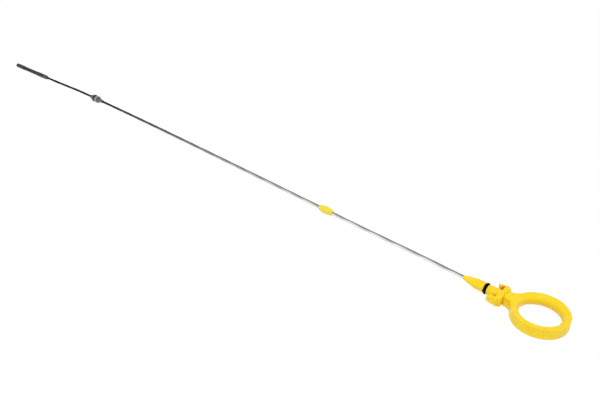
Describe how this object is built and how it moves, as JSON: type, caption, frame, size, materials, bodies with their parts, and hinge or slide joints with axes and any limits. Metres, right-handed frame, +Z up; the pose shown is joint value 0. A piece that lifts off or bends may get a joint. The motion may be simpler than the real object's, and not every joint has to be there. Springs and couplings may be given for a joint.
{
  "type": "engine oil dipstick",
  "caption": "Long springy steel wire with a moulded finger-ring handle, snap arms and seal at one end, guides along it and a dark gauge tip at the other, for reading an engine's oil level.",
  "frame": {"origin": "on the stem's axis, at the front shoulder of the seal groove", "axes": "+X along the stem's axis towards the gauge tip, +Z up from the surface that the part lies on, with the finger ring flat"},
  "size_m": [0.8458, 0.0437, 0.0092],
  "materials": {
    "yellow_plastic": "satin moulded",
    "black_rubber": "smooth",
    "spring_steel": "drawn, oily",
    "grey_plastic": "moulded",
    "dark_plastic": "moulded, oily"
  },
  "bodies": {
    "root": {"handle": "yellow_plastic", "o_ring": "black_rubber", "gauge_wire": "spring_steel", "guide_bead": "yellow_plastic", "lower_guide": "grey_plastic", "gauge_tip": "dark_plastic"}
  },
  "joints": []
}
